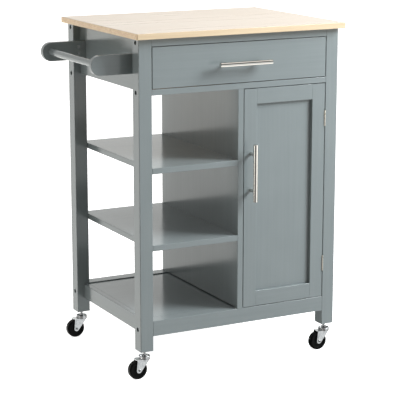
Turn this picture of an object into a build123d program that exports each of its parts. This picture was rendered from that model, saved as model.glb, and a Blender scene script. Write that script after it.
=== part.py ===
from build123d import *
import math
import os

# Kitchen island cart on four swivel casters: a full-width drawer over three open bays and a
# cupboard, with a towel rail on the left end. Millimetres. +X is to the right, +Y to the back,
# +Z up. The origin is on the floor, under the centre of the whole cart.

# ---------------------------------------------------------------- driving dimensions
overall_width = 690.0       # towel rail's outer end to the right edge of the top
overall_height = 890.0
top_width = 600.0
top_depth = 480.0
top_thickness = 15.0
side_overhang = 12.0        # top beyond the legs, left and right
end_overhang = 18.0         # top beyond the legs, front and back
handle_reach = 33.0         # front faces to the outside of a handle's bar

leg_size = 36.0
leg_bottom = 74.0           # floor to the underside of a leg
board = 15.0                # shelves, bottom board, side panel and aprons
divider_thickness = 16.0
side_recess = 20.0          # side boards sit in from the legs' outer faces
bay_height = 183.5          # clear height of each open bay

top_rail_height = 20.0
drawer_opening_height = 106.5
bottom_rail_height = 40.0
back_lip = 2.5              # back bottom rail stands above the bottom board
apron_height = 135.0
divider_from_left = 279.5   # left legs' outer faces to the divider
divider_gap = 2.5           # shadow gap under the divider
divider_foot = 15.0         # the divider's front strip that reaches down to the rail
back_panel = 5.0
back_panel_inset = 19.0     # legs' back faces to the back of the thin panels

front_gap = 1.6             # round the drawer front and the door
drawer_front_thickness = 15.0
drawer_wall = 12.0
drawer_wall_height = 80.0
drawer_box_lift = 6.5       # drawer front's lower edge to the box's lower edge
drawer_box_length = 380.0
drawer_bottom_thickness = 5.0
drawer_groove = 5.0
drawer_bottom_lift = 6.0    # box's lower edge to the drawer bottom
slide_length = 350.0
slide_width = 12.5
slide_travel = 260.0
cage_clearance = 0.5        # ball cage to the end of the overlap at full travel

door_thickness = 18.0
door_stile_width = 38.0
door_rail_height = 40.0
door_panel_thickness = 5.0
door_panel_recess = 8.5
door_groove = 8.0

hinge_height = 40.0
hinge_from_door_end = 92.0  # hinge centre to the door's top or bottom edge
hinge_axis_forward = 0.5    # pin's axis in front of the front faces
knuckle_radius = 1.9
knuckle_count = 5           # three on the frame's leaf, two on the door's between them
knuckle_gap = 0.3
knuckle_room = 0.5          # clear space round the knuckles in the wood
hinge_pin_radius = 0.8
hinge_pin_button = 0.6      # height of the button on each end of the pin
leaf_thickness = 1.2
leaf_mortise = 0.7
leaf_depth = 16.0
leaf_screw_radius = 1.6
leaf_screw_depth = 10.0     # front face to the middle of a leaf's screw holes

handle_length = 150.0
handle_post_spacing = 96.0
handle_bar_radius = 6.0
handle_post_radius = 4.0
door_handle_height = 516.0

bracket_length = 122.0
bracket_height = 50.0
bracket_centre_height = 808.0
bracket_from_leg = 20.0
towel_rod_radius = 9.0
towel_rod_socket = 10.0

wheel_radius = 25.0
wheel_width = 18.0
caster_trail = 20.0
tread_round = 4.5
hub_radius = 7.0
dish_radius = 17.5
dish_depth = 2.2
axle_radius = 2.5
axle_head_radius = 3.8
fork_gap = 20.0
fork_metal = 1.8
fork_top = 53.4
fork_hood_length = 26.0
head_radius = 15.0
head_bottom = 54.0
head_top = 60.5
head_wall = 1.7
stem_radius = 4.0
stem_length = 34.0          # inside the leg
rivet_radius = 3.9

shelf_peg_radius = 2.5
shelf_peg_length = 16.0
shelf_peg_pitch = 32.0
dowel_radius = 4.0
dowel_length = 30.0
bolt_radius = 3.0
bolt_head_radius = 5.4
bolt_head_height = 4.0
bolt_socket_radius = 2.3
bolt_socket_depth = 2.4
counterbore_radius = 5.8
counterbore_depth = 8.0
barrel_nut_radius = 5.0
barrel_nut_length = 12.0
low_bolt_height = 131.0
snug = 0.05                 # radial clearance of a fastener in its hole
running = 0.08              # radial clearance of a turning fit
edge_ease = 1.0             # eased edges of the boards
leg_ease = 1.6

# ---------------------------------------------------------------- derived positions
overall_depth = top_depth + handle_reach - end_overhang
top_right = overall_width / 2
top_left = top_right - top_width
left = top_left + side_overhang
right = top_right - side_overhang
front = handle_reach - overall_depth / 2
back = overall_depth / 2 - end_overhang

inner_left = left + leg_size
inner_right = right - leg_size
inner_front = front + leg_size
inner_back = back - leg_size
leg_centres_x = (left + leg_size / 2, right - leg_size / 2)
leg_centres_y = (front + leg_size / 2, back - leg_size / 2)

top_under = overall_height - top_thickness
drawer_opening = (top_under - top_rail_height - drawer_opening_height, top_under - top_rail_height)
drawer_rail_z = (drawer_opening[0] - board, drawer_opening[0])
middle_shelf_z = (drawer_rail_z[0] - bay_height - board, drawer_rail_z[0] - bay_height)
lower_shelf_z = (middle_shelf_z[0] - bay_height - board, middle_shelf_z[0] - bay_height)
floor_board_z = (lower_shelf_z[0] - bay_height - board, lower_shelf_z[0] - bay_height)
bottom_rail_z = (floor_board_z[1] - bottom_rail_height, floor_board_z[1])
back_bottom_rail_z = (bottom_rail_z[0], bottom_rail_z[1] + back_lip)
apron_z = (top_under - apron_height, top_under)
bolt_heights = (
    top_under - top_rail_height / 2,
    (drawer_rail_z[0] + drawer_rail_z[1]) / 2,
    low_bolt_height,
)

apron_x = (left + side_recess, left + side_recess + board)
side_panel_x = (right - side_recess - board, right - side_recess)
divider_x = (left + divider_from_left, left + divider_from_left + divider_thickness)
divider_centre = (divider_x[0] + divider_x[1]) / 2
back_panel_y = (back - back_panel_inset - back_panel, back - back_panel_inset)

drawer_front_x = (inner_left + front_gap, inner_right - front_gap)
drawer_front_z = (drawer_opening[0] + front_gap, drawer_opening[1] - front_gap)
drawer_centre_x = (inner_left + inner_right) / 2
drawer_centre_z = (drawer_front_z[0] + drawer_front_z[1]) / 2
drawer_box_x = (apron_x[1] + slide_width, side_panel_x[0] - slide_width)
drawer_box_y = (front + drawer_front_thickness, front + drawer_front_thickness + drawer_box_length)
drawer_box_z = (
    drawer_front_z[0] + drawer_box_lift,
    drawer_front_z[0] + drawer_box_lift + drawer_wall_height,
)
slide_y = (inner_front + 1.0, inner_front + 1.0 + slide_length)
slide_centre_z = (drawer_box_z[0] + drawer_box_z[1]) / 2

door_x = (divider_x[1] + front_gap, inner_right - front_gap)
door_z = (floor_board_z[1] + front_gap, drawer_rail_z[0] - front_gap)
door_inner_x = (door_x[0] + door_stile_width, door_x[1] - door_stile_width)
door_inner_z = (door_z[0] + door_rail_height, door_z[1] - door_rail_height)
door_back = front + door_thickness
hinge_axis_x = (door_x[1] + inner_right) / 2
hinge_axis_y = front - hinge_axis_forward
hinge_centres = (door_z[0] + hinge_from_door_end, door_z[1] - hinge_from_door_end)

bracket_x = (apron_x[0] - bracket_length, apron_x[0])
bracket_front_y = (inner_front + bracket_from_leg, inner_front + bracket_from_leg + board)
bracket_back_y = (inner_back - bracket_from_leg - board, inner_back - bracket_from_leg)
towel_rod_x = bracket_x[0] + bracket_height / 2

UNIT = {"X": (1, 0, 0), "Y": (0, 1, 0), "Z": (0, 0, 1)}


# ---------------------------------------------------------------- helpers
def block(x, y, z, ease=0.0):
    """Rectangular piece between a low and a high value on each axis, with eased edges."""
    size = Box(x[1] - x[0], y[1] - y[0], z[1] - z[0])
    solid = Pos((x[0] + x[1]) / 2, (y[0] + y[1]) / 2, (z[0] + z[1]) / 2) * size
    if ease:
        solid = fillet(solid.edges(), ease)
    return solid


def bar(start, axis, length, radius):
    """Cylinder from a start point along an axis; a negative length runs the other way."""
    sign = 1 if length > 0 else -1
    direction = tuple(sign * part for part in UNIT[axis])
    place = Plane(origin=start, z_dir=direction)
    return place * Cylinder(radius, abs(length), align=(Align.CENTER, Align.CENTER, Align.MIN))


def drilled(piece, cutters):
    """The piece with every cutter that reaches it taken away."""
    box = piece.bounding_box()
    near = []
    for cutter in cutters:
        other = cutter.bounding_box()
        apart = (
            other.min.X > box.max.X or other.max.X < box.min.X
            or other.min.Y > box.max.Y or other.max.Y < box.min.Y
            or other.min.Z > box.max.Z or other.max.Z < box.min.Z
        )
        if not apart:
            near.append(cutter)
    for cutter in near:
        piece = piece - cutter
    return piece


def group(solids):
    """Separate solids that share one node."""
    return Compound(children=[part for solid in solids for part in solid.solids()])


# ---------------------------------------------------------------- dowels, bolts, nuts, screws
def dowel_places():
    """Start point and axis of each wooden dowel."""
    places = []
    in_leg = 12.0
    in_board = 8.0
    from_apron_edge = 30.0
    from_rail_edge = 8.0
    shelf_from_leg = 44.0
    divider_from_leg = 64.0
    in_divider_end = 10.0
    board_from_leg_x = 110.0
    board_from_leg_y = 94.0
    middle_y = (front + back) / 2
    low_rail_rows = (bottom_rail_z[0] + from_rail_edge, bottom_rail_z[1] - from_rail_edge)
    apron_rows = (apron_z[0] + from_apron_edge, apron_z[1] - from_apron_edge)
    panel_rows = (low_rail_rows[0], lower_shelf_z[0], middle_shelf_z[1], apron_rows[1])
    leg_joints_y = (inner_front - in_leg, inner_back + in_leg - dowel_length)
    rail_x = (apron_x[0] + apron_x[1]) / 2
    panel_x = (side_panel_x[0] + side_panel_x[1]) / 2
    for y in leg_joints_y:
        for z in apron_rows + low_rail_rows:
            places.append(((rail_x, y, z), "Y"))
        for z in panel_rows:
            places.append(((panel_x, y, z), "Y"))
    for shelf in (lower_shelf_z, middle_shelf_z):
        z = (shelf[0] + shelf[1]) / 2
        for y in leg_centres_y:
            places.append(((inner_left - in_leg, y, z), "X"))
        for y in (inner_front + shelf_from_leg, middle_y, inner_back - shelf_from_leg):
            places.append(((divider_x[0] + in_board - dowel_length, y, z), "X"))
    for y in leg_centres_y:
        places.append(((divider_centre, y, drawer_rail_z[0] + in_divider_end - dowel_length), "Z"))
    for y in (inner_front + divider_from_leg, middle_y, inner_back - divider_from_leg):
        places.append(((divider_centre, y, floor_board_z[1] - in_divider_end), "Z"))
    board_mid = (floor_board_z[0] + floor_board_z[1]) / 2
    for x in (inner_left + board_from_leg_x, inner_right - board_from_leg_x):
        places.append(((x, inner_front - in_leg, board_mid), "Y"))
        places.append(((x, inner_back + in_leg - dowel_length, board_mid), "Y"))
    for y in (inner_front + board_from_leg_y, inner_back - board_from_leg_y):
        places.append(((apron_x[1] - in_board, y, board_mid), "X"))
        places.append(((side_panel_x[0] + in_board - dowel_length, y, board_mid), "X"))
    return places


dowels = [bar(start, axis, dowel_length, dowel_radius) for start, axis in dowel_places()]
dowel_holes = [bar(start, axis, dowel_length, dowel_radius + snug) for start, axis in dowel_places()]


def furniture_bolt(start, axis, sign, length):
    """Cap-head bolt with a hexagon socket; start is the centre of the head's outer face."""
    x, y, z = start
    step = tuple(sign * part for part in UNIT[axis])
    under = (x + step[0] * bolt_head_height, y + step[1] * bolt_head_height, z + step[2] * bolt_head_height)
    head = bar(start, axis, sign * bolt_head_height, bolt_head_radius)
    shank = bar(under, axis, sign * length, bolt_radius)
    hexagon = RegularPolygon(bolt_socket_radius, 6)
    socket = extrude(Plane(origin=start, z_dir=step) * hexagon, amount=bolt_socket_depth)
    return head + shank - socket


def bolt_hole(start, axis, sign, length):
    """Clearance hole for a bolt's shank."""
    return bar(start, axis, sign * length, bolt_radius + snug)


def barrel_nut(centre, axis, cross_axis):
    """Round cross nut, tapped across its middle."""
    half = barrel_nut_length / 2
    start = tuple(c - half * u for c, u in zip(centre, UNIT[axis]))
    bore = tuple(c - barrel_nut_radius * 2 * u for c, u in zip(centre, UNIT[cross_axis]))
    nut = bar(start, axis, barrel_nut_length, barrel_nut_radius)
    return nut - bar(bore, cross_axis, barrel_nut_radius * 4, bolt_radius + snug)


frame_bolt_length = 58.0
frame_nut_from_joint = 22.0
bolts = []
nuts = []
hardware_holes = []
for y in leg_centres_y:
    for z in bolt_heights:
        underside = {bolt_heights[0]: drawer_opening[1], bolt_heights[1]: drawer_rail_z[0]}
        rail_under = underside.get(z, bottom_rail_z[0])
        for outer, sign in ((left, 1), (right, -1)):
            seat = outer + sign * counterbore_depth
            head_face = seat - sign * bolt_head_height
            nut_x = outer + sign * (leg_size + frame_nut_from_joint)
            bolts.append(furniture_bolt((head_face, y, z), "X", sign, frame_bolt_length))
            nuts.append(barrel_nut((nut_x, y, z), "Z", "X"))
            hardware_holes.append(bar((outer, y, z), "X", sign * counterbore_depth, counterbore_radius))
            hardware_holes.append(bolt_hole((seat, y, z), "X", sign, frame_bolt_length + 1.0))
            nut_hole_height = z + barrel_nut_length / 2 + snug - rail_under
            hardware_holes.append(bar((nut_x, y, rail_under), "Z", nut_hole_height, barrel_nut_radius + snug))

bracket_bolt_length = 35.0
bracket_bolt_spacing = 18.0
bracket_bolt_recess = 1.0
bracket_nut_x = apron_x[0] - 18.5
for bracket_y, open_side in ((bracket_front_y, 1), (bracket_back_y, -1)):
    y = (bracket_y[0] + bracket_y[1]) / 2
    open_face = bracket_y[1] if open_side > 0 else bracket_y[0]
    for z in (
        bracket_centre_height - bracket_bolt_spacing / 2,
        bracket_centre_height + bracket_bolt_spacing / 2,
    ):
        seat = apron_x[1] - bolt_head_height - bracket_bolt_recess
        bolts.append(furniture_bolt((seat + bolt_head_height, y, z), "X", -1, bracket_bolt_length))
        nuts.append(barrel_nut((bracket_nut_x, y, z), "Y", "X"))
        hardware_holes.append(bar((apron_x[1], y, z), "X", seat - apron_x[1], counterbore_radius))
        hardware_holes.append(bolt_hole((seat, y, z), "X", -1, bracket_bolt_length + 1.0))
        hole_depth = board / 2 + barrel_nut_length / 2 + snug
        hardware_holes.append(bar((bracket_nut_x, open_face, z), "Y", -open_side * hole_depth,
                                  barrel_nut_radius + snug))

screw_radius = 2.0
screw_head_radius = 4.0
top_screw_length = 28.0
top_screw_from_leg = 64.0
top_screw_x = (inner_left + top_screw_from_leg, drawer_centre_x, inner_right - top_screw_from_leg)


def countersunk_screw(start, length, clearance=0.0):
    """Upright wood screw with a countersunk head; start is the centre of the head's face."""
    head_height = screw_head_radius - screw_radius
    shank = bar(start, "Z", length, screw_radius + clearance)
    cone = Pos(start[0], start[1], start[2] + head_height / 2) * Cone(
        screw_head_radius + clearance, screw_radius + clearance, head_height)
    return shank + cone


top_screw_places = [(x, y, drawer_opening[1]) for x in top_screw_x for y in leg_centres_y]
top_screws = [countersunk_screw(place, top_screw_length) for place in top_screw_places]
hardware_holes += [countersunk_screw(place, top_screw_length, snug) for place in top_screw_places]

stem_top = leg_bottom + stem_length
for x in leg_centres_x:
    for y in leg_centres_y:
        hardware_holes.append(bar((x, y, leg_bottom), "Z", stem_top - leg_bottom + 1.0, stem_radius + snug))

# ---------------------------------------------------------------- pegs of the cupboard's shelf
cabinet_shelf_z = (436.0, 436.0 + board)
peg_height = cabinet_shelf_z[0] - shelf_peg_radius - snug
peg_rows_y = (inner_front + 44.0, inner_back - 43.0)
peg_depth = shelf_peg_length / 2
pegs = []
peg_holes = []
for y in peg_rows_y:
    for face, sign in ((divider_x[1], -1), (side_panel_x[0], 1)):
        start = (face - sign * peg_depth, y, peg_height)
        pegs.append(bar(start, "X", sign * shelf_peg_length, shelf_peg_radius))
        for row in range(-2, 3):
            mouth = (face, y, peg_height + row * shelf_peg_pitch)
            peg_holes.append(bar(mouth, "X", sign * (peg_depth + 0.2), shelf_peg_radius + snug))

frame_cutters = dowel_holes + hardware_holes + peg_holes


# ---------------------------------------------------------------- hinges
def hinge_sleeve():
    """Space that the knuckles turn in, cut from the leg and the door."""
    end_room = 2.5
    return [
        bar((hinge_axis_x, hinge_axis_y, z - hinge_height / 2 - end_room), "Z",
            hinge_height + 2 * end_room, knuckle_radius + knuckle_room)
        for z in hinge_centres
    ]


def hinge_leaf(z, side, rows):
    """One leaf with its own knuckles. side is -1 on the door and 1 on the frame."""
    wall = hinge_axis_x + side * (inner_right - door_x[1]) / 2
    seat = wall + side * leaf_mortise
    plate_x = sorted((seat, seat - side * leaf_thickness))
    plate_y = (hinge_axis_y + knuckle_radius + knuckle_room, front + leaf_depth)
    low = z - hinge_height / 2
    pitch = (hinge_height + knuckle_gap) / knuckle_count
    leaf = block(plate_x, plate_y, (low, low + hinge_height))
    for row in rows:
        segment = (low + row * pitch, low + (row + 1) * pitch - knuckle_gap)
        leaf += block(plate_x, (hinge_axis_y + 0.6, plate_y[0] + 0.2), segment)
        leaf += bar((hinge_axis_x, hinge_axis_y, segment[0]), "Z", segment[1] - segment[0], knuckle_radius)
    leaf -= bar((hinge_axis_x, hinge_axis_y, low - 1.0), "Z", hinge_height + 2.0,
                hinge_pin_radius + running)
    for step in (-1, 1):
        screw = (plate_x[0] - 1.0, front + leaf_screw_depth, z + step * hinge_height * 0.3)
        leaf -= bar(screw, "X", leaf_thickness + 2.0, leaf_screw_radius)
    return leaf


def hinge_pin(z):
    """Hinge pin with a low button at each end."""
    stand_out = 0.6
    low = z - hinge_height / 2 - stand_out
    high = z + hinge_height / 2 + stand_out
    pin = bar((hinge_axis_x, hinge_axis_y, low), "Z", high - low, hinge_pin_radius)
    for start, step in ((low, -hinge_pin_button), (high, hinge_pin_button)):
        pin += bar((hinge_axis_x, hinge_axis_y, start), "Z", step, hinge_pin_radius * 2)
    return pin


def leaf_mortises(side):
    """Shallow pockets for the leaves in the leg or the door's stile."""
    wall = hinge_axis_x + side * (inner_right - door_x[1]) / 2
    pocket_x = sorted((wall - side * 1.0, wall + side * leaf_mortise))
    half = hinge_height / 2
    return [block(pocket_x, (front - 1.0, front + leaf_depth), (z - half, z + half)) for z in hinge_centres]


# ---------------------------------------------------------------- frame
def tabletop():
    slab = block((top_left, top_right), (front - end_overhang, back + end_overhang),
                 (top_under, overall_height))
    slab = fillet(slab.edges().filter_by(Axis.Z), 3.0)
    slab = fillet(slab.faces().sort_by(Axis.Z)[-1].edges(), 1.5)
    slab = fillet(slab.faces().sort_by(Axis.Z)[0].edges(), 1.0)
    return drilled(slab, frame_cutters)


def leg(centre_x, centre_y):
    half = leg_size / 2
    post = block((centre_x - half, centre_x + half), (centre_y - half, centre_y + half),
                 (leg_bottom, top_under))
    post = fillet(post.edges().filter_by(Axis.Z), leg_ease)
    post = fillet(post.faces().sort_by(Axis.Z)[0].edges(), edge_ease)
    cutters = list(frame_cutters)
    if centre_x > 0 and centre_y < 0:
        cutters += hinge_sleeve() + leaf_mortises(1)
    return drilled(post, cutters)


def rail(y_centre, z):
    """Cross rail between the left and the right legs, as deep as a leg."""
    half = leg_size / 2
    beam = block((inner_left, inner_right), (y_centre - half, y_centre + half), z)
    beam = fillet(beam.edges().filter_by(Axis.X), edge_ease)
    return drilled(beam, frame_cutters)


def side_board(x, z):
    """Board between a front and a back leg."""
    plank = block(x, (inner_front, inner_back), z)
    plank = fillet(plank.edges().filter_by(Axis.Y), edge_ease)
    return drilled(plank, frame_cutters)


def open_shelf(z):
    plank = block((inner_left, divider_x[0]), (front, back), z)
    plank = fillet(plank.edges().filter_by(Axis.X), edge_ease)
    plank = fillet(plank.edges().filter_by(Axis.Y).sort_by(Axis.X)[:2], edge_ease)
    return drilled(plank, frame_cutters)


def bottom_board():
    plank = block((apron_x[1], side_panel_x[0]), (inner_front, inner_back), floor_board_z)
    return drilled(plank, frame_cutters)


def divider():
    panel = block(divider_x, (front, back), (floor_board_z[1], drawer_rail_z[0]))
    panel = fillet(panel.edges().filter_by(Axis.Z), edge_ease)
    gap_y = (front + divider_foot, inner_back)
    panel -= block((divider_x[0] - 1, divider_x[1] + 1), gap_y,
                   (floor_board_z[1] - 1, floor_board_z[1] + divider_gap))
    notch_y = (inner_back - 0.01, back + 1)
    panel -= block((divider_x[0] - 1, divider_x[1] + 1), notch_y,
                   (floor_board_z[1] - 1, back_bottom_rail_z[1]))
    return drilled(panel, frame_cutters)


def cabinet_shelf():
    return block((divider_x[1] + 0.5, side_panel_x[0] - 0.5), (inner_front + 9.0, inner_back - 8.0),
                 cabinet_shelf_z, edge_ease)


catch_size = (38.0, 12.0, 12.0)
catch_inset = 4.5           # door's handle edge to the catch
catch_gap = 1.7             # back of the door to the housing
pole_heights = (2.5, 8.0)
pole_thickness = 1.5
pole_inset = 5.0
pole_proud = 0.2            # the poles stand out of the housing, towards the strike
ear_inset = 3.0
ear_length = 9.0
ear_thickness = 2.0
ear_hole_inset = 11.0
ear_hole_radius = 1.8


def magnetic_catch():
    """Catch housing under the drawer rail, with two steel pole plates and two fixing ears."""
    x = (door_x[0] + catch_inset, door_x[0] + catch_inset + catch_size[0])
    y = (door_back + catch_gap, door_back + catch_gap + catch_size[1])
    z = (drawer_rail_z[0] - catch_size[2], drawer_rail_z[0])
    body = block(x, y, z, 0.8)
    for low in (z[0] + pole_heights[0], z[0] + pole_heights[1]):
        body += block((x[0] + pole_inset, x[1] - pole_inset), (y[0] - pole_proud, y[0] + 3.0),
                      (low, low + pole_thickness))
    ears = block((x[0] + ear_inset, x[1] - ear_inset), (y[1] - 1.0, y[1] + ear_length),
                 (z[1] - ear_thickness, z[1]))
    for ear_x in (x[0] + ear_hole_inset, x[1] - ear_hole_inset):
        ears -= bar((ear_x, y[1] + ear_length / 2, z[1] - ear_thickness - 1.0), "Z",
                    ear_thickness + 2.0, ear_hole_radius)
    return body + ears


# ---------------------------------------------------------------- towel rail
def towel_bracket(y, inner_side):
    """Plate with a half-round outer end and a blind socket for the rod on its inner side."""
    radius = bracket_height / 2
    outline = Rectangle(bracket_x[1] - towel_rod_x, bracket_height, align=(Align.MIN, Align.CENTER))
    outline += Circle(radius)
    plate = Plane(origin=(towel_rod_x, y[0], bracket_centre_height), x_dir=(1, 0, 0), z_dir=(0, -1, 0))
    solid = extrude(plate * outline, amount=-(y[1] - y[0]))
    rims = solid.faces().sort_by(Axis.Y)
    solid = fillet(rims[0].edges() + rims[-1].edges(), edge_ease)
    socket_face = y[1] if inner_side > 0 else y[0]
    socket = bar((towel_rod_x, socket_face, bracket_centre_height), "Y",
                 -inner_side * (towel_rod_socket + 0.5), towel_rod_radius + snug)
    return drilled(solid - socket, frame_cutters)


def towel_rod():
    ends = (bracket_front_y[1] - towel_rod_socket, bracket_back_y[0] + towel_rod_socket)
    return bar((towel_rod_x, ends[0], bracket_centre_height), "Y", ends[1] - ends[0], towel_rod_radius)


# ---------------------------------------------------------------- drawer slides
channel_half = 17.5
channel_lip = 9.5           # depth of the channel's flanges
channel_holes = (25.0, 150.0, 310.0)
runner_half = 11.0
runner_lip = 8.5
runner_holes = (12.0, 120.0, 290.0)
slide_hole_radius = 2.2
slide_metal = 1.2
track_centre = (channel_half - slide_metal + runner_half) / 2
overlap_end = slide_y[1] - slide_travel
cage_y = (slide_y[0] + slide_travel / 2 + cage_clearance, overlap_end + slide_travel / 2 - cage_clearance)
ball_radius = 2.3
ball_pitch = 10.0
ball_x = 6.6                # wall to the balls' centres
cage_x = (2.0, 2.8)         # wall to the cage's thin back
cage_depth = 10.0


def slide_section(wall, side, x, z, y):
    """A strip of a slide: x runs from the wall into the cart, z from the slide's middle."""
    span = sorted((wall + side * x[0], wall + side * x[1]))
    return block(span, y, (slide_centre_z + z[0], slide_centre_z + z[1]))


def slide_channel(wall, side):
    """Fixed outer member, open towards the drawer."""
    solid = slide_section(wall, side, (0, slide_metal), (-channel_half, channel_half), slide_y)
    flange = channel_half - slide_metal
    for low, high in ((-channel_half, -flange), (flange, channel_half)):
        solid += slide_section(wall, side, (0, channel_lip), (low, high), slide_y)
    for hole in channel_holes:
        start = (wall - side, slide_y[0] + hole, slide_centre_z)
        solid -= bar(start, "X", side * 4.0, slide_hole_radius)
    return solid


def slide_runner(wall, side):
    """Inner member, screwed to the drawer's side."""
    solid = slide_section(wall, side, (slide_width - slide_metal, slide_width), (-runner_half, runner_half),
                          slide_y)
    for low, high in ((-runner_half, -runner_half + slide_metal), (runner_half - slide_metal, runner_half)):
        solid += slide_section(wall, side, (slide_width - runner_lip, slide_width), (low, high), slide_y)
    for hole in runner_holes:
        start = (wall + side * (slide_width + 1), slide_y[0] + hole, slide_centre_z)
        solid -= bar(start, "X", -side * 4.0, slide_hole_radius)
    return solid


def slide_cage(wall, side):
    """Ball cage between the two members: two strips of balls joined by a thin back."""
    strip = 0.4
    solid = slide_section(wall, side, cage_x, (-track_centre - strip, track_centre + strip), cage_y)
    balls = int((cage_y[1] - cage_y[0] - 2 * ball_radius) // ball_pitch) + 1
    first = (cage_y[0] + cage_y[1]) / 2 - (balls - 1) * ball_pitch / 2
    for level in (-track_centre, track_centre):
        solid += slide_section(wall, side, (cage_x[0], cage_depth), (level - strip, level + strip), cage_y)
        for number in range(balls):
            place = Pos(wall + side * ball_x, first + number * ball_pitch, slide_centre_z + level)
            solid += place * Sphere(ball_radius)
    return solid


slide_walls = ((apron_x[1], 1), (side_panel_x[0], -1))


# ---------------------------------------------------------------- drawer
handle_thread_depth = 11.0
handle_screw_depth = 10.0
screw_pan_height = 2.5


def t_bar_handle(centre, axis):
    """Round bar on two posts; the posts are tapped for a screw each."""
    bar_start = [centre[0], front - handle_reach + handle_bar_radius, centre[1]]
    posts = []
    along = 0 if axis == "X" else 2
    bar_start[along] -= handle_length / 2
    solid = bar(tuple(bar_start), axis, handle_length, handle_bar_radius)
    solid = chamfer(solid.edges(), 0.6)
    for step in (-1, 1):
        post = [centre[0], front, centre[1]]
        post[along] += step * handle_post_spacing / 2
        posts.append(tuple(post))
        solid += bar(tuple(post), "Y", -(handle_reach - handle_bar_radius), handle_post_radius)
    for post in posts:
        solid -= bar(post, "Y", -handle_thread_depth, screw_radius + snug)
    return solid


def handle_screw(x, z, back_face):
    """Pan-head screw from inside into a handle's post."""
    solid = bar((x, back_face, z), "Y", screw_pan_height, screw_head_radius)
    solid += bar((x, back_face, z), "Y", front - back_face - handle_screw_depth, screw_radius)
    return solid


def drawer_bottom():
    x = (drawer_box_x[0] + drawer_wall - drawer_groove, drawer_box_x[1] - drawer_wall + drawer_groove)
    y = (drawer_box_y[0] - drawer_groove, drawer_box_y[1] - drawer_wall + drawer_groove)
    low = drawer_box_z[0] + drawer_bottom_lift
    z = (low, low + drawer_bottom_thickness)
    return block(x, y, z)


drawer_screw_x = [drawer_centre_x - handle_post_spacing / 2, drawer_centre_x + handle_post_spacing / 2]
drawer_cutters = [drawer_bottom()]
drawer_cutters += [
    bar((x, front - 1, drawer_centre_z), "Y", drawer_front_thickness + 2, screw_radius + snug)
    for x in drawer_screw_x
]


def drawer_front():
    plank = block(drawer_front_x, (front, front + drawer_front_thickness), drawer_front_z, edge_ease)
    return drilled(plank, drawer_cutters)


def drawer_side(x):
    wall = block(x, drawer_box_y, drawer_box_z)
    wall = fillet(wall.faces().sort_by(Axis.Z)[-1].edges().filter_by(Axis.Y), 2.0)
    return drilled(wall, drawer_cutters)


def drawer_back():
    x = (drawer_box_x[0] + drawer_wall, drawer_box_x[1] - drawer_wall)
    wall = block(x, (drawer_box_y[1] - drawer_wall, drawer_box_y[1]), drawer_box_z)
    wall = fillet(wall.faces().sort_by(Axis.Z)[-1].edges().filter_by(Axis.X), 2.0)
    return drilled(wall, drawer_cutters)


# ---------------------------------------------------------------- door
def door_panel():
    x = (door_inner_x[0] - door_groove, door_inner_x[1] + door_groove)
    z = (door_inner_z[0] - door_groove, door_inner_z[1] + door_groove)
    y = (front + door_panel_recess, front + door_panel_recess + door_panel_thickness)
    return block(x, y, z)


door_handle_x = (door_x[0] + door_inner_x[0]) / 2
door_screw_z = [door_handle_height - handle_post_spacing / 2, door_handle_height + handle_post_spacing / 2]
door_cutters = [door_panel()] + hinge_sleeve() + leaf_mortises(-1)
door_cutters += [
    bar((door_handle_x, front - 1, z), "Y", door_thickness + 2, screw_radius + snug)
    for z in door_screw_z
]


def door_member(x, z, ease_axis):
    """A stile or a rail of the door, grooved for the panel."""
    beam = block(x, (front, door_back), z)
    beam = fillet(beam.edges().filter_by(ease_axis), 0.8)
    return drilled(beam, door_cutters)


strike_x = (7.0, 40.0)      # from the door's handle edge
strike_z = (0.5, 11.0)      # down from the door's top
strike_thickness = 1.2


def catch_strike():
    x = (door_x[0] + strike_x[0], door_x[0] + strike_x[1])
    z = (door_z[1] - strike_z[1], door_z[1] - strike_z[0])
    plate = block(x, (door_back, door_back + strike_thickness), z)
    screw = ((x[0] + x[1]) / 2, door_back - 1, (z[0] + z[1]) / 2)
    return plate - bar(screw, "Y", 4.0, leaf_screw_radius)


# ---------------------------------------------------------------- casters
def caster_stem(x, y):
    """Fixed half of a caster: threaded stem, cup-shaped swivel head and the king rivet."""
    rivet_bottom = fork_top - fork_metal - 1.6
    neck_radius = stem_radius - 0.5
    solid = bar((x, y, head_top - 1.0), "Z", leg_bottom - head_top + 1.0, neck_radius)
    solid += bar((x, y, leg_bottom), "Z", stem_top - leg_bottom, stem_radius)
    cup = bar((x, y, head_bottom), "Z", head_top - head_bottom, head_radius)
    cup = fillet(cup.edges(), 0.8)
    cup -= bar((x, y, head_bottom + 2.2), "Z", head_top, head_radius - head_wall)
    nut = extrude(Plane(origin=(x, y, head_bottom + 1.5)) * RegularPolygon(6.0, 6), amount=6.0)
    solid += cup + nut
    solid += bar((x, y, rivet_bottom), "Z", head_bottom - rivet_bottom + 1.0, rivet_radius)
    solid += bar((x, y, rivet_bottom), "Z", 1.3, rivet_radius + 1.6)
    return solid


def fork_outline(inset):
    """A fork's cheek in X and Z about the swivel axis: wide at the top, round at the axle."""
    axle = (-caster_trail, wheel_radius)
    radius = 6.8 - inset
    high = fork_top - inset * 1.6
    corners = [(-24.0 + inset, high), (11.0 - inset * 1.8, high)]
    tangents = []
    for (cx, cz), side in zip(corners, (-1, 1)):
        dx, dz = cx - axle[0], cz - axle[1]
        reach = math.hypot(dx, dz)
        turn = math.atan2(dz, dx) - side * math.acos(radius / reach)
        tangents.append((axle[0] + radius * math.cos(turn), axle[1] + radius * math.sin(turn)))
    lowest = (axle[0], axle[1] - radius)
    with BuildLine() as edge:
        Polyline(tangents[0], corners[0], corners[1], tangents[1])
        ThreePointArc(tangents[1], lowest, tangents[0])
    return make_face(edge.edges())


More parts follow.
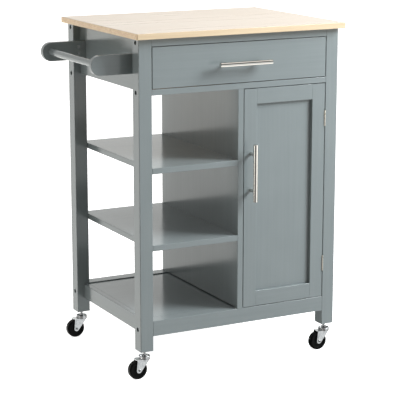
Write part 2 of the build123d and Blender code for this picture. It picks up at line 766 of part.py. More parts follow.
def caster_fork(x, y):
    """Pressed steel fork and its riveted axle; the wheel trails towards -X."""
    plate_z = fork_top - fork_metal
    half_outer = fork_gap / 2 + fork_metal
    hood = Rectangle(fork_hood_length, 2 * half_outer, align=(Align.MAX, Align.CENTER))
    hood = fillet(hood.vertices().sort_by(Axis.X)[:2], 7.0)
    top_plate = extrude(Pos(0, 0, plate_z) * (Circle(head_radius) + hood), amount=fork_metal)
    fork = top_plate
    for side in (-1, 1):
        inner = side * fork_gap / 2
        cheek_plane = Plane(origin=(0, inner, 0), x_dir=(1, 0, 0), z_dir=(0, -1, 0))
        fork += extrude(cheek_plane * fork_outline(0.0), amount=-side * fork_metal)
        rib_plane = Plane(origin=(0, side * half_outer, 0), x_dir=(1, 0, 0), z_dir=(0, -1, 0))
        fork += extrude(rib_plane * fork_outline(3.2), amount=-side * 0.5)
    fork -= bar((0, 0, plate_z - 1), "Z", fork_metal + 2, rivet_radius + 0.1)
    axle_end = half_outer + 1.6
    fork -= bar((-caster_trail, -half_outer - 2, wheel_radius), "Y", 2 * half_outer + 4, axle_radius + snug)
    axle = bar((-caster_trail, -axle_end, wheel_radius), "Y", 2 * axle_end, axle_radius)
    for side in (-1, 1):
        face = (-caster_trail, side * (half_outer + 0.55), wheel_radius)
        head = bar(face, "Y", side * 1.1, axle_head_radius)
        axle += fillet(head.faces().sort_by(Axis.Y)[-1 if side > 0 else 0].edges(), 0.7)
    return group([Pos(x, y, 0) * fork, Pos(x, y, 0) * axle])


def caster_wheel(x, y):
    """Wheel with a rounded tread, dished sides and a hub that spaces it in the fork."""
    centre = (x - caster_trail, y - wheel_width / 2, wheel_radius)
    wheel = bar(centre, "Y", wheel_width, wheel_radius)
    wheel = fillet(wheel.edges(), tread_round)
    for side in (-1, 1):
        face = (centre[0], y + side * wheel_width / 2, wheel_radius)
        dish = bar(face, "Y", -side * dish_depth, dish_radius)
        dish -= bar((face[0], face[1] + side, face[2]), "Y", -side * 4, hub_radius)
        wheel -= dish
        wheel += bar((face[0], face[1] - side, face[2]), "Y", side * 1.6, hub_radius - 1.0)
    wheel -= bar((centre[0], y - wheel_width, wheel_radius), "Y", wheel_width * 2, axle_radius + running)
    return wheel


# ---------------------------------------------------------------- every node
pieces = {
    "tabletop": tabletop(),
    "front_top_rail": rail(leg_centres_y[0], (drawer_opening[1], top_under)),
    "front_drawer_rail": rail(leg_centres_y[0], drawer_rail_z),
    "front_bottom_rail": rail(leg_centres_y[0], bottom_rail_z),
    "back_top_rail": rail(leg_centres_y[1], (drawer_opening[1], top_under)),
    "back_drawer_rail": rail(leg_centres_y[1], drawer_rail_z),
    "back_bottom_rail": rail(leg_centres_y[1], back_bottom_rail_z),
    "left_apron": side_board(apron_x, apron_z),
    "left_bottom_rail": side_board(apron_x, bottom_rail_z),
    "right_side_panel": side_board(side_panel_x, (bottom_rail_z[0], top_under)),
    "bottom_board": bottom_board(),
    "divider": divider(),
    "middle_shelf": open_shelf(middle_shelf_z),
    "lower_shelf": open_shelf(lower_shelf_z),
    "cabinet_back_panel": block((divider_x[1], inner_right), back_panel_y,
                                (back_bottom_rail_z[1], drawer_rail_z[0])),
    "drawer_bay_back_panel": block((inner_left, inner_right), back_panel_y, drawer_opening),
    "cabinet_shelf": cabinet_shelf(),
    "shelf_pegs": group(pegs),
    "wood_dowels": group(dowels),
    "furniture_bolts": group(bolts),
    "barrel_nuts": group(nuts),
    "tabletop_screws": group(top_screws),
    "towel_bracket_front": towel_bracket(bracket_front_y, 1),
    "towel_bracket_back": towel_bracket(bracket_back_y, -1),
    "towel_rod": towel_rod(),
    "slide_channels": group([slide_channel(*wall) for wall in slide_walls]),
    "slide_cages": group([slide_cage(*wall) for wall in slide_walls]),
    "slide_runners": group([slide_runner(*wall) for wall in slide_walls]),
    "magnetic_catch": magnetic_catch(),
    "hinge_frame_leaves": group([hinge_leaf(z, 1, (0, 2, 4)) for z in hinge_centres]),
    "hinge_door_leaves": group([hinge_leaf(z, -1, (1, 3)) for z in hinge_centres]),
    "hinge_pins": group([hinge_pin(z) for z in hinge_centres]),
    "drawer_front": drawer_front(),
    "drawer_side_left": drawer_side((drawer_box_x[0], drawer_box_x[0] + drawer_wall)),
    "drawer_side_right": drawer_side((drawer_box_x[1] - drawer_wall, drawer_box_x[1])),
    "drawer_back": drawer_back(),
    "drawer_bottom": drawer_bottom(),
    "drawer_handle": t_bar_handle((drawer_centre_x, drawer_centre_z), "X"),
    "drawer_handle_screws": group([
        handle_screw(x, drawer_centre_z, front + drawer_front_thickness) for x in drawer_screw_x
    ]),
    "door_stile_handle_side": door_member((door_x[0], door_inner_x[0]), door_z, Axis.Z),
    "door_stile_hinge_side": door_member((door_inner_x[1], door_x[1]), door_z, Axis.Z),
    "door_rail_top": door_member(door_inner_x, (door_inner_z[1], door_z[1]), Axis.X),
    "door_rail_bottom": door_member(door_inner_x, (door_z[0], door_inner_z[0]), Axis.X),
    "door_panel": door_panel(),
    "door_handle": t_bar_handle((door_handle_x, door_handle_height), "Z"),
    "door_handle_screws": group([handle_screw(door_handle_x, z, door_back) for z in door_screw_z]),
    "catch_strike": catch_strike(),
    "caster_stems": group([caster_stem(x, y) for x in leg_centres_x for y in leg_centres_y]),
}
corner_names = {
    "front_left": (leg_centres_x[0], leg_centres_y[0]),
    "front_right": (leg_centres_x[1], leg_centres_y[0]),
    "back_left": (leg_centres_x[0], leg_centres_y[1]),
    "back_right": (leg_centres_x[1], leg_centres_y[1]),
}
for corner, (corner_x, corner_y) in corner_names.items():
    pieces[f"leg_{corner}"] = leg(corner_x, corner_y)
    pieces[f"caster_fork_{corner}"] = caster_fork(corner_x, corner_y)
    pieces[f"caster_wheel_{corner}"] = caster_wheel(corner_x, corner_y)

os.makedirs("parts", exist_ok=True)
for node, shape in pieces.items():
    export_step(shape, f"parts/{node}.step")

print("nodes", len(pieces))
print("drawer slide axis -Y, travel", slide_travel)
print("door hinge axis", hinge_axis_x, hinge_axis_y)
for corner, (corner_x, corner_y) in corner_names.items():
    print(corner, "swivel", corner_x, corner_y, "axle x", corner_x - caster_trail, "z", wheel_radius)
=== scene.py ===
import bpy
import math
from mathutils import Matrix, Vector


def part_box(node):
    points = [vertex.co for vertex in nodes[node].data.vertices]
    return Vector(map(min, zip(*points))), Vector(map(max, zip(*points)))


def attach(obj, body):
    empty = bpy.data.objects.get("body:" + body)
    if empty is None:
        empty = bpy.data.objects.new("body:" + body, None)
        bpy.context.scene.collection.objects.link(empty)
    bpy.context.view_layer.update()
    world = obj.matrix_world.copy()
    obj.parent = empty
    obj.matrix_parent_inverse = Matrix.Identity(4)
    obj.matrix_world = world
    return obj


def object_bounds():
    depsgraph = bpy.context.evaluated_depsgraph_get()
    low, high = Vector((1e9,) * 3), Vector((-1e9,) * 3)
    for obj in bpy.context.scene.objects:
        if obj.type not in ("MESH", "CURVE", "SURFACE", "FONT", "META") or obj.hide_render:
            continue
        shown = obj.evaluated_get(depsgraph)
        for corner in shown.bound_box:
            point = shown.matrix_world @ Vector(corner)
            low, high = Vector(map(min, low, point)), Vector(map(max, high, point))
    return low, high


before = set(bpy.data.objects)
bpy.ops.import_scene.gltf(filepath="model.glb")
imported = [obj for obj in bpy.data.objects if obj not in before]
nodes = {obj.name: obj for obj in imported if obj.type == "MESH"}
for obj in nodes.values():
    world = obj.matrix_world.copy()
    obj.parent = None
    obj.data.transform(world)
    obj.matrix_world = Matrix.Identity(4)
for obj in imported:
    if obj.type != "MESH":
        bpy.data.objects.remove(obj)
cad_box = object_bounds()

AXES = {"X": 0, "Y": 1, "Z": 2}

# ---------------------------------------------------------------- shader helpers


def add(tree, kind, inputs=None, **settings):
    """A shader node with its settings; an input is either a value or another node's output."""
    node = tree.nodes.new(kind)
    for name, value in settings.items():
        setattr(node, name, value)
    for name, value in (inputs or {}).items():
        if isinstance(value, bpy.types.NodeSocket):
            tree.links.new(value, node.inputs[name])
        else:
            node.inputs[name].default_value = value
    return node


def new_material(name, **sockets):
    """A material with a Principled shader; sockets name its constant inputs."""
    material = bpy.data.materials.new(name)
    material.use_nodes = True
    tree = material.node_tree
    shader = tree.nodes["Principled BSDF"]
    for socket, value in sockets.items():
        shader.inputs[socket.replace("_", " ")].default_value = value
    return material, tree, shader


def place(tree, stretch=(1.0, 1.0, 1.0)):
    """The surface point in the part's own frame, in metres, scaled along each axis."""
    point = add(tree, "ShaderNodeTexCoord").outputs["Object"]
    return add(tree, "ShaderNodeMapping", {"Vector": point, "Scale": stretch}).outputs["Vector"]


def noise(tree, vector, scale, detail=2.0, roughness=0.5, distortion=0.0):
    """Noise from 0 to 1 with about scale features a metre."""
    inputs = {"Vector": vector, "Scale": scale, "Detail": detail, "Roughness": roughness,
              "Distortion": distortion}
    return add(tree, "ShaderNodeTexNoise", inputs).outputs["Fac"]


def remap(tree, value, low, high, to_low=0.0, to_high=1.0):
    """The value's range from low to high, stretched to another and held at its ends."""
    inputs = {"Value": value, "From Min": low, "From Max": high, "To Min": to_low, "To Max": to_high}
    return add(tree, "ShaderNodeMapRange", inputs).outputs["Result"]


def ramp(tree, value, stops):
    """Colour ramp through (position, colour) stops."""
    node = add(tree, "ShaderNodeValToRGB", {"Fac": value})
    elements = node.color_ramp.elements
    while len(elements) < len(stops):
        elements.new(0.5)
    for element, (position, colour) in zip(elements, stops):
        element.position = position
        element.color = (*colour, 1.0)
    return node.outputs["Color"]


def mixed(tree, factor, first, second):
    """A colour between the first, at factor 0, and the second, at 1."""
    node = add(tree, "ShaderNodeMix", data_type="RGBA")
    for slot, value in ((0, factor), (6, first), (7, second)):
        if isinstance(value, bpy.types.NodeSocket):
            tree.links.new(value, node.inputs[slot])
        elif slot:
            node.inputs[slot].default_value = (*value, 1.0)
        else:
            node.inputs[slot].default_value = value
    return node.outputs[2]


def maths(tree, operation, first, second=0.0):
    """One arithmetic step on values or other nodes' outputs."""
    node = add(tree, "ShaderNodeMath", operation=operation)
    for slot, value in enumerate((first, second)):
        if isinstance(value, bpy.types.NodeSocket):
            tree.links.new(value, node.inputs[slot])
        else:
            node.inputs[slot].default_value = value
    return node.outputs[0]


def bump(tree, height, distance, strength, under=None):
    """A normal tilted by the height, on top of the bump under it."""
    inputs = {"Height": height, "Distance": distance, "Strength": strength}
    if under is not None:
        inputs["Normal"] = under
    return add(tree, "ShaderNodeBump", inputs).outputs["Normal"]


def edge_mask(tree, radius):
    """1 on edges sharper than the radius, 0 on flat faces."""
    soft = add(tree, "ShaderNodeBevel", {"Radius": radius}, samples=4).outputs["Normal"]
    sharp = add(tree, "ShaderNodeNewGeometry").outputs["Normal"]
    facing = add(tree, "ShaderNodeVectorMath", {0: soft, 1: sharp}, operation="DOT_PRODUCT").outputs["Value"]
    return remap(tree, facing, 0.995, 0.90)


# ---------------------------------------------------------------- finishes
EDGE_WEAR_AND_HIGHLIGHT = 0.0012            # how far from a sharp edge the paint is lightened, as wear and as painted highlight, in metres
PAINT = (0.214, 0.247, 0.251)
PAINT_PALE = (0.228, 0.262, 0.266)
PAINT_DEEP = (0.200, 0.233, 0.238)
# Lighter paint for the edges: worn paint, and painted highlight on the arrises
PAINT_WORN_AND_LIT = (0.30, 0.33, 0.33)


def painted_wood(name, axis):
    """Semi-gloss sprayed paint over sanded wood, whose grain runs along the given axis; its edges are
    lighter in patches, partly as wear and partly as painted highlight.
    """
    material, tree, shader = new_material(name, IOR=1.58)
    along = [150.0, 150.0, 150.0]
    along[AXES[axis]] = 3.0
    grain = noise(tree, place(tree, along), 1.0, 4.0, 0.6)
    clouds = noise(tree, place(tree), 9.0, 3.0)
    spray = noise(tree, place(tree), 620.0, 2.0)
    tone = maths(tree, "ADD", maths(tree, "MULTIPLY", clouds, 0.45), maths(tree, "MULTIPLY", grain, 0.55))
    colour = ramp(tree, tone, ((0.30, PAINT_DEEP), (0.50, PAINT), (0.72, PAINT_PALE)))
    # Sharp edges lightened in patches: partly wear, partly painted highlight where the arrises catch the
    # light
    scuffs = noise(tree, place(tree), 55.0, 6.0, 0.7)
    wear_and_highlight = maths(tree, "MULTIPLY", edge_mask(tree, EDGE_WEAR_AND_HIGHLIGHT), remap(tree, scuffs, 0.50, 0.68, 0.0, 0.35))
    tree.links.new(mixed(tree, wear_and_highlight, colour, PAINT_WORN_AND_LIT), shader.inputs["Base Color"])
    tree.links.new(remap(tree, clouds, 0.2, 0.8, 0.15, 0.19), shader.inputs["Roughness"])
    coat = bump(tree, spray, 0.000004, 0.5)
    tree.links.new(bump(tree, grain, 0.00004, 0.25, coat), shader.inputs["Normal"])
    return material


def worktop_wood():
    """Pale satin-lacquered solid wood with its grain along X, tanner on its sawn edges and ends."""
    material, tree, shader = new_material("worktop_wood")
    figure = noise(tree, place(tree, (2.2, 34.0, 34.0)), 1.0, 4.0, 0.55, 0.6)
    pores = noise(tree, place(tree, (14.0, 420.0, 420.0)), 1.0, 3.0, 0.6)
    sheets = noise(tree, place(tree, (3.0, 7.0, 7.0)), 1.0, 2.0)
    tone = maths(tree, "ADD", maths(tree, "MULTIPLY", figure, 0.65), maths(tree, "MULTIPLY", sheets, 0.35))
    face = ramp(tree, tone, (
        (0.28, (0.595, 0.492, 0.385)),
        (0.45, (0.635, 0.540, 0.440)),
        (0.60, (0.655, 0.572, 0.478)),
        (0.78, (0.615, 0.520, 0.412)),
    ))
    side = ramp(tree, tone, (
        (0.25, (0.62, 0.460, 0.290)),
        (0.50, (0.73, 0.580, 0.390)),
        (0.75, (0.78, 0.655, 0.465)),
    ))
    rings = noise(tree, place(tree, (30.0, 70.0, 260.0)), 1.0, 3.0, 0.5, 0.8)
    end = ramp(tree, rings, (
        (0.30, (0.78, 0.520, 0.280)),
        (0.55, (0.92, 0.660, 0.390)),
        (0.75, (0.96, 0.720, 0.455)),
    ))
    normal = add(tree, "ShaderNodeSeparateXYZ", {
        "Vector": add(tree, "ShaderNodeNewGeometry").outputs["Normal"]}).outputs
    side = mixed(tree, remap(tree, maths(tree, "ABSOLUTE", normal["X"]), 0.6, 0.9), side, end)
    colour = mixed(tree, remap(tree, normal["Z"], 0.45, 0.9), side, face)
    dark_pores = remap(tree, pores, 0.58, 0.80, 0.0, 0.045)
    colour = mixed(tree, dark_pores, colour, (0.50, 0.34, 0.18))
    tree.links.new(colour, shader.inputs["Base Color"])
    tree.links.new(remap(tree, figure, 0.3, 0.7, 0.26, 0.36), shader.inputs["Roughness"])
    fine = bump(tree, pores, 0.00002, 0.12)
    tree.links.new(bump(tree, figure, 0.00006, 0.04, fine), shader.inputs["Normal"])
    return material


def bare_wood():
    """Unpainted drawer sides, pegs and dowels."""
    material, tree, shader = new_material("bare_wood")
    figure = noise(tree, place(tree, (60.0, 3.0, 60.0)), 1.0, 5.0, 0.6, 0.4)
    pores = noise(tree, place(tree, (480.0, 16.0, 480.0)), 1.0, 3.0)
    colour = ramp(tree, figure, (
        (0.30, (0.50, 0.330, 0.180)),
        (0.52, (0.66, 0.470, 0.285)),
        (0.74, (0.72, 0.545, 0.360)),
    ))
    tree.links.new(mixed(tree, remap(tree, pores, 0.58, 0.75, 0.0, 0.3), colour, (0.36, 0.22, 0.11)),
                   shader.inputs["Base Color"])
    tree.links.new(remap(tree, pores, 0.3, 0.7, 0.50, 0.68), shader.inputs["Roughness"])
    tree.links.new(bump(tree, pores, 0.00012, 0.4), shader.inputs["Normal"])
    return material


def zinc_steel():
    """Bright zinc plate with faint rolling lines and cloudy passivation."""
    material, tree, shader = new_material("zinc_steel", Metallic=1.0)
    clouds = noise(tree, place(tree), 120.0, 4.0, 0.6)
    speck = noise(tree, place(tree), 900.0, 2.0)
    colour = ramp(tree, clouds, (
        (0.30, (0.50, 0.51, 0.52)),
        (0.55, (0.63, 0.64, 0.65)),
        (0.78, (0.72, 0.72, 0.71)),
    ))
    tree.links.new(colour, shader.inputs["Base Color"])
    tree.links.new(remap(tree, clouds, 0.3, 0.7, 0.16, 0.26), shader.inputs["Roughness"])
    tree.links.new(bump(tree, speck, 0.00003, 0.25), shader.inputs["Normal"])
    return material


def satin_steel(name, axis):
    """Handle steel, turned: its fine scratches run round the bar's axis."""
    material, tree, shader = new_material(name, Metallic=1.0)
    across = [20.0, 20.0, 20.0]
    across[AXES[axis]] = 3200.0
    rings = noise(tree, place(tree, across), 1.0, 3.0, 0.6)
    clouds = noise(tree, place(tree), 70.0, 3.0)
    colour = ramp(tree, rings, ((0.30, (0.62, 0.605, 0.565)), (0.70, (0.72, 0.705, 0.670))))
    tree.links.new(colour, shader.inputs["Base Color"])
    tree.links.new(remap(tree, clouds, 0.3, 0.7, 0.06, 0.09), shader.inputs["Roughness"])
    tree.links.new(bump(tree, rings, 0.000002, 0.10), shader.inputs["Normal"])
    return material


def hinge_brass():
    """Pale plated hinge metal, clouded and a little dull."""
    material, tree, shader = new_material("hinge_brass", Metallic=1.0)
    clouds = noise(tree, place(tree), 160.0, 4.0, 0.6)
    colour = ramp(tree, clouds, (
        (0.30, (0.56, 0.520, 0.440)),
        (0.55, (0.72, 0.690, 0.610)),
        (0.75, (0.82, 0.790, 0.720)),
    ))
    tree.links.new(colour, shader.inputs["Base Color"])
    tree.links.new(remap(tree, clouds, 0.3, 0.7, 0.24, 0.42), shader.inputs["Roughness"])
    tree.links.new(bump(tree, clouds, 0.00003, 0.2), shader.inputs["Normal"])
    return material


def black_steel():
    """Blackened steel of the bolts and the axles' rivets, dull and finely pitted; its near-black colour also
    paints the shade in the bolts' holes.
    """
    material, tree, shader = new_material("black_steel", Metallic=0.6, Specular_IOR_Level=0.2)
    grit = noise(tree, place(tree), 700.0, 3.0)
    # Near black: blackened steel, darkened further as painted shade in the bolt holes
    colour = ramp(tree, grit, ((0.3, (0.004, 0.004, 0.004)), (0.7, (0.012, 0.012, 0.013))))
    tree.links.new(colour, shader.inputs["Base Color"])
    tree.links.new(remap(tree, grit, 0.3, 0.7, 0.40, 0.58), shader.inputs["Roughness"])
    tree.links.new(bump(tree, grit, 0.00003, 0.3), shader.inputs["Normal"])
    return material


def moulded_plastic(name, dark, pale, gloss, specular=0.5):
    """Moulded plastic with a fine spark-eroded texture."""
    material, tree, shader = new_material(name, Specular_IOR_Level=specular)
    grit = noise(tree, place(tree), 800.0, 3.0)
    flow = noise(tree, place(tree), 60.0, 3.0)
    tree.links.new(ramp(tree, flow, ((0.3, dark), (0.7, pale))), shader.inputs["Base Color"])
    tree.links.new(remap(tree, flow, 0.3, 0.7, gloss, gloss + 0.1), shader.inputs["Roughness"])
    tree.links.new(bump(tree, grit, 0.00002, 0.3), shader.inputs["Normal"])
    return material


def floor_white():
    """Pale studio floor that glows, so that the shadows on it stay light."""
    material, tree, shader = new_material("floor_white", Emission_Strength=0.85)
    shader.inputs["Emission Color"].default_value = (1.0, 1.0, 1.0, 1.0)
    tone = noise(tree, place(tree), 3.0, 2.0)
    tree.links.new(ramp(tree, tone, ((0.3, (0.86, 0.86, 0.86)), (0.7, (0.90, 0.90, 0.90)))),
                   shader.inputs["Base Color"])
    shader.inputs["Roughness"].default_value = 0.9
    return material


def floor_shade():
    """Dark grey stand-in for the floor where the cart keeps the light off it."""
    material, tree, shader = new_material("floor_shade", Roughness=0.9)
    tone = noise(tree, place(tree), 3.0, 2.0)
    tree.links.new(ramp(tree, tone, ((0.3, (0.040, 0.042, 0.042)), (0.7, (0.052, 0.054, 0.054)))),
                   shader.inputs["Base Color"])
    return material


# ---------------------------------------------------------------- finishes on the CAD nodes
paint = {axis: painted_wood(f"painted_wood_{axis.lower()}", axis) for axis in AXES}
steel = {axis: satin_steel(f"satin_steel_{axis.lower()}", axis) for axis in ("X", "Z")}
zinc = zinc_steel()
dark_steel = black_steel()
wood = bare_wood()

FINISHES = [
    (worktop_wood(), ["tabletop"]),
    (paint["Z"], ["leg_front_left", "leg_front_right", "leg_back_left", "leg_back_right", "divider",
                  "right_side_panel", "cabinet_back_panel", "door_panel", "door_stile_handle_side",
                  "door_stile_hinge_side"]),
    (paint["X"], ["front_top_rail", "front_drawer_rail", "front_bottom_rail", "back_top_rail",
                  "back_drawer_rail", "back_bottom_rail", "middle_shelf", "lower_shelf", "bottom_board",
                  "cabinet_shelf", "drawer_front", "drawer_bay_back_panel", "door_rail_top",
                  "door_rail_bottom", "towel_bracket_front", "towel_bracket_back"]),
    (paint["Y"], ["left_apron", "left_bottom_rail", "towel_rod"]),
    (wood, ["drawer_side_left", "drawer_side_right", "drawer_back", "drawer_bottom", "wood_dowels",
            "shelf_pegs"]),
    (zinc, ["barrel_nuts", "tabletop_screws", "slide_channels", "slide_runners", "slide_cages",
            "catch_strike", "caster_stems", "drawer_handle_screws", "door_handle_screws",
            "caster_fork_front_left", "caster_fork_front_right", "caster_fork_back_left",
            "caster_fork_back_right"]),
    (steel["X"], ["drawer_handle"]),
    (steel["Z"], ["door_handle"]),
    (hinge_brass(), ["hinge_frame_leaves", "hinge_door_leaves", "hinge_pins"]),
    (dark_steel, ["furniture_bolts"]),
    (moulded_plastic("catch_plastic", (0.75, 0.74, 0.70), (0.82, 0.81, 0.78), 0.35), ["magnetic_catch"]),
    (moulded_plastic("wheel_plastic", (0.004, 0.004, 0.004), (0.008, 0.008, 0.008), 0.18, 0.07),
     ["caster_wheel_front_left", "caster_wheel_front_right", "caster_wheel_back_left",
      "caster_wheel_back_right"]),
]
for finish, members in FINISHES:
    for member in members:
        nodes[member].data.materials.clear()
        nodes[member].data.materials.append(finish)

# ---------------------------------------------------------------- small screws and rivets
MM = 0.001
SEGMENTS = 32
HEAD_FINISHES = {"zinc_steel": zinc, "black_steel": dark_steel}
SCREW_RINGS = ((1.0, 0.0), (1.0, 0.35), (0.88, 0.85), (0.70, 1.0), (0.52, 1.0), (0.26, 1.0))
RIVET_RINGS = ((1.0, 0.0), (1.0, 0.6), (0.92, 1.0), (0.80, 1.0), (0.66, 0.5), (0.30, 0.4))


def small_heads(name, body, seats, facing, radius, height, slot="zinc_steel", rings=SCREW_RINGS, recess=0.8):
    """Round heads on their seats, looking along facing; the recess is a cross in the two
    innermost rings and the centre, and its depth is a share of the head's height."""
    outward = Vector(facing)
    across = outward.orthogonal().normalized()
    upright = outward.cross(across)
    depth = height * recess
    points, faces = [], []
    for seat in seats:
        base = len(points)
        for ring, (share, rise) in enumerate(rings):
            for step in range(SEGMENTS):
                turn = math.tau * step / SEGMENTS
                arm = step % (SEGMENTS // 4) in (0, 1, SEGMENTS // 4 - 1)
                sunk = depth if arm and ring >= len(rings) - 2 else 0.0
                spoke = across * math.cos(turn) + upright * math.sin(turn)
                points.append(Vector(seat) + spoke * radius * share + outward * (height * rise - sunk))
        points.append(Vector(seat) + outward * (height * rings[-1][1] - depth))
        for ring in range(len(rings) - 1):
            for step in range(SEGMENTS):
                near, far = base + ring * SEGMENTS, base + (ring + 1) * SEGMENTS
                after = (step + 1) % SEGMENTS
                faces.append((near + step, near + after, far + after, far + step))
        last = base + (len(rings) - 1) * SEGMENTS
        for step in range(SEGMENTS):
            faces.append((last + step, last + (step + 1) % SEGMENTS, last + SEGMENTS))
        faces.append(tuple(base + step for step in reversed(range(SEGMENTS))))
    mesh = bpy.data.meshes.new(name)
    mesh.from_pydata(points, [], faces)
    mesh.materials.append(HEAD_FINISHES[slot])
    piece = bpy.data.objects.new(name, mesh)
    bpy.context.scene.collection.objects.link(piece)
    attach(piece, body)


HINGE_LENGTH = 42.4 * MM      # over the pin's ends
LEAF_SCREW_STEP = 12.0 * MM   # middle of a hinge to its screws
LEAF_SCREW_DEPTH = 10.0 * MM  # front of the legs to the leaf screws
LEAF_FACE = 0.3 * MM          # hinge axis to the faces of the two leaves
LEAF_HEAD = (1.55 * MM, 0.5 * MM)      # radius and height, as for all the heads
SUNK = 0.15 * MM              # a head's top below the face of its leaf
leg_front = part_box("leg_front_right")[0].y
pins_low, pins_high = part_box("hinge_pins")
hinge_axis_x = (pins_low.x + pins_high.x) / 2
hinge_middles = (pins_low.z + HINGE_LENGTH / 2, pins_high.z - HINGE_LENGTH / 2)
for body, side in (("frame", 1.0), ("door", -1.0)):
    seat_x = hinge_axis_x + side * (LEAF_FACE + SUNK + LEAF_HEAD[1])
    seats = [(seat_x, leg_front + LEAF_SCREW_DEPTH, middle + step)
             for middle in hinge_middles for step in (-LEAF_SCREW_STEP, LEAF_SCREW_STEP)]
    small_heads(f"hinge_screws_{body}", body, seats, (-side, 0.0, 0.0), *LEAF_HEAD)

SLIDE_METAL = 1.2 * MM
CHANNEL_HEAD = (3.2 * MM, 0.6 * MM)
RUNNER_HEAD = (3.4 * MM, 0.9 * MM)
CHANNEL_HOLES = (25.0 * MM, 150.0 * MM, 310.0 * MM)
RUNNER_HOLES = (12.0 * MM, 120.0 * MM, 290.0 * MM)
slides_low, slides_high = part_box("slide_channels")
slide_z = (slides_low.z + slides_high.z) / 2
for side, wall_x in (("left", slides_low.x), ("right", slides_high.x)):
    inward = 1.0 if side == "left" else -1.0
    seats = [(wall_x + inward * SLIDE_METAL, slides_low.y + hole, slide_z) for hole in CHANNEL_HOLES]
    small_heads(f"channel_screws_{side}", "frame", seats, (inward, 0.0, 0.0), *CHANNEL_HEAD)
    drawer_side_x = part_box(f"drawer_side_{side}")[0 if side == "left" else 1].x
    seats = [(drawer_side_x - inward * SLIDE_METAL, slides_low.y + hole, slide_z) for hole in RUNNER_HOLES]
    small_heads(f"runner_screws_{side}", "drawer", seats, (-inward, 0.0, 0.0), *RUNNER_HEAD)

EAR_HOLE_INSET = 11.0 * MM
EAR_LENGTH = 9.0 * MM
EAR_THICKNESS = 2.0 * MM
EAR_HEAD = (2.9 * MM, 1.3 * MM)
catch_low, catch_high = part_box("magnetic_catch")
seats = [(x, catch_high.y - EAR_LENGTH / 2, catch_high.z - EAR_THICKNESS)
         for x in (catch_low.x + EAR_HOLE_INSET, catch_high.x - EAR_HOLE_INSET)]
small_heads("catch_screws", "frame", seats, (0.0, 0.0, -1.0), *EAR_HEAD)
strike_low, strike_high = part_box("catch_strike")
strike_middle = (strike_low + strike_high) / 2
seats = [(strike_middle.x, strike_high.y - SUNK - LEAF_HEAD[1], strike_middle.z)]
small_heads("strike_screw", "door", seats, (0.0, 1.0, 0.0), *LEAF_HEAD)

AXLE_END = (2.0 * MM, 0.3 * MM)
SET_IN = 0.1 * MM             # the foot of each rivet in the end of its axle
for corner in ("front_left", "front_right", "back_left", "back_right"):
    fork_low, fork_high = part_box(f"caster_fork_{corner}")
    wheel_low, wheel_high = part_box(f"caster_wheel_{corner}")
    wheel_middle = (wheel_low + wheel_high) / 2
    for side, end_y, way in (("near", fork_low.y, -1.0), ("far", fork_high.y, 1.0)):
        seats = [(wheel_middle.x, end_y - way * SET_IN, wheel_middle.z)]
        small_heads(f"axle_rivet_{corner}_{side}", f"caster_{corner}", seats, (0.0, way, 0.0), *AXLE_END,
                    "black_steel", RIVET_RINGS, 0.0)

# ---------------------------------------------------------------- floor, light and camera
FLOOR_HALF = 30.0             # metres from the middle to each side
SHADE_REACH = 0.05            # how far the shade goes past the divider, in metres
SHADE_HEIGHT = -0.001         # just under the floor


def flat_sheet(name, low, high, height, finish):
    """Level rectangle of the studio between two corners."""
    mesh = bpy.data.meshes.new(name)
    corners = [(low[0], low[1], height), (high[0], low[1], height),
               (high[0], high[1], height), (low[0], high[1], height)]
    mesh.from_pydata(corners, [], [(0, 1, 2, 3)])
    mesh.materials.append(finish)
    sheet = bpy.data.objects.new(name, mesh)
    bpy.context.scene.collection.objects.link(sheet)
    return sheet


# The camera sees the floor, but it neither lights the cart nor shows in its gloss: the room does
studio_floor = flat_sheet("studio_floor", (-FLOOR_HALF, -FLOOR_HALF), (FLOOR_HALF, FLOOR_HALF), 0.0,
                          floor_white())
studio_floor.visible_diffuse = False
studio_floor.visible_glossy = False

# The floor under the cupboard is in shade: a dark card that shows in gloss only
cupboard_low, cupboard_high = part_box("divider")[0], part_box("leg_back_right")[1]
shade_card = flat_sheet("shade_card", (cupboard_low.x - SHADE_REACH, cupboard_low.y), cupboard_high,
                        SHADE_HEIGHT, floor_shade())
shade_card.visible_camera = False
shade_card.visible_diffuse = False
shade_card.visible_shadow = False

cart_centre = (cad_box[0] + cad_box[1]) / 2


def softbox(name, azimuth, elevation, distance, size, brightness, colour):
    """Oval area light aimed at the cart's middle. Azimuth is in degrees from straight in front,
    positive to the right, and elevation from level; power grows with the distance squared."""
    turn, rise = math.radians(azimuth), math.radians(elevation)
    away = Vector((math.sin(turn) * math.cos(rise), -math.cos(turn) * math.cos(rise), math.sin(rise)))
    data = bpy.data.lights.new(name, "AREA")
    data.shape = "ELLIPSE"
    data.size, data.size_y = size
    data.energy = brightness * math.pi ** 2 * distance ** 2
    data.color = colour
    lamp = bpy.data.objects.new(name, data)
    lamp.location = cart_centre + away * distance
    lamp.rotation_mode = "QUATERNION"
    lamp.rotation_quaternion = away.to_track_quat("Z", "Y")
    bpy.context.scene.collection.objects.link(lamp)
    lamp.visible_camera = False
    return lamp


KEY_AZIMUTH = 54.0
KEY_ELEVATION = 33.0
KEY_DISTANCE = 3.0
KEY_SIZE = (1.35, 1.35)
KEY_BRIGHTNESS = 1.54
KEY_COLOUR = (0.93, 0.965, 0.99)
softbox("key_softbox", KEY_AZIMUTH, KEY_ELEVATION, KEY_DISTANCE, KEY_SIZE, KEY_BRIGHTNESS, KEY_COLOUR)

# Two weak lights that act on gloss only, for the bright line down the upright metal
STRIP_AZIMUTHS = (("right", 50.0), ("left", -84.0))
STRIP_DISTANCE = 1.6
STRIP_SIZE = (0.50, 0.80)
STRIP_BRIGHTNESS = 0.16
STRIP_COLOUR = (1.0, 0.99, 0.95)
for side, azimuth in STRIP_AZIMUTHS:
    strip = softbox(f"strip_softbox_{side}", azimuth, 0.0, STRIP_DISTANCE, STRIP_SIZE, STRIP_BRIGHTNESS,
                    STRIP_COLOUR)
    strip.visible_diffuse = False

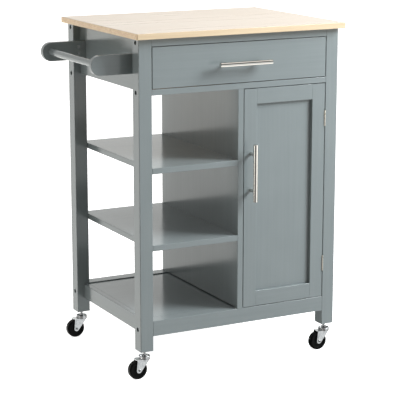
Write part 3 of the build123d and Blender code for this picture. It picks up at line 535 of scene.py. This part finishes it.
# Brightness of the room by height, from straight down, 0, to straight up, 1
WALL_BEHIND = (
    (0.22, (0.50, 0.48, 0.46)),
    (0.29, (1.55, 1.56, 1.52)),
    (0.48, (1.55, 1.56, 1.52)),
    (0.56, (1.02, 1.03, 1.01)),
    (0.68, (1.02, 1.03, 1.01)),
    (0.75, (0.30, 0.28, 0.27)),
    (0.88, (0.30, 0.28, 0.27)),
    (0.93, (1.50, 1.46, 1.44)),
)
WALL_BESIDE = (
    (0.29, (2.35, 2.32, 2.24)),
    (0.37, (0.16, 0.155, 0.15)),
    (0.55, (0.12, 0.117, 0.113)),
    (0.88, (0.16, 0.153, 0.147)),
    (0.93, (1.50, 1.46, 1.44)),
)
ROOM_AHEAD = (
    (0.00, (0.30, 0.285, 0.275)),
    (0.45, (0.225, 0.213, 0.205)),
    (0.60, (0.15, 0.142, 0.137)),
    (0.88, (0.15, 0.144, 0.140)),
    (0.93, (1.50, 1.46, 1.44)),
)
LIT_FLOOR = (0.50, -0.80, -0.33)      # towards the floor under the key light
LIT_FLOOR_GLOW = (0.95, 0.97, 0.97)


def studio_world():
    """A white wall behind, pale floor to the sides, and a dim room ahead with a lit floor."""
    world = bpy.data.worlds.new("studio_world")
    world.use_nodes = True
    tree = world.node_tree
    direction = add(tree, "ShaderNodeTexCoord").outputs["Generated"]
    parts = add(tree, "ShaderNodeSeparateXYZ", {"Vector": direction}).outputs
    height = remap(tree, parts["Z"], -1.0, 1.0)
    behind = remap(tree, parts["Y"], 0.55, 0.72)
    ahead = remap(tree, parts["Y"], -0.15, -0.65)
    light = mixed(tree, ahead, ramp(tree, height, WALL_BESIDE), ramp(tree, height, ROOM_AHEAD))
    light = mixed(tree, behind, light, ramp(tree, height, WALL_BEHIND))
    towards_floor = add(tree, "ShaderNodeVectorMath", {0: direction, 1: LIT_FLOOR}, operation="DOT_PRODUCT")
    glow = remap(tree, towards_floor.outputs["Value"], 0.84, 0.95)
    light = mixed(tree, glow, light, LIT_FLOOR_GLOW)
    tree.links.new(light, tree.nodes["Background"].inputs["Color"])
    return world


bpy.context.scene.world = studio_world()
bpy.context.scene.view_settings.view_transform = "Standard"

CAMERA_PLACE = (-1.853, -3.639, 1.310)
CAMERA_HEADING = math.radians(27.46)   # to the right of straight at the front
CAMERA_TILT = math.radians(12.47)      # below level
CAMERA_LENS = 139.7

camera_data = bpy.data.cameras.new("camera")
camera_data.lens = CAMERA_LENS
camera = bpy.data.objects.new("camera", camera_data)
camera.location = CAMERA_PLACE
camera.rotation_euler = (math.pi / 2 - CAMERA_TILT, 0.0, -CAMERA_HEADING)
bpy.context.scene.collection.objects.link(camera)
bpy.context.scene.camera = camera
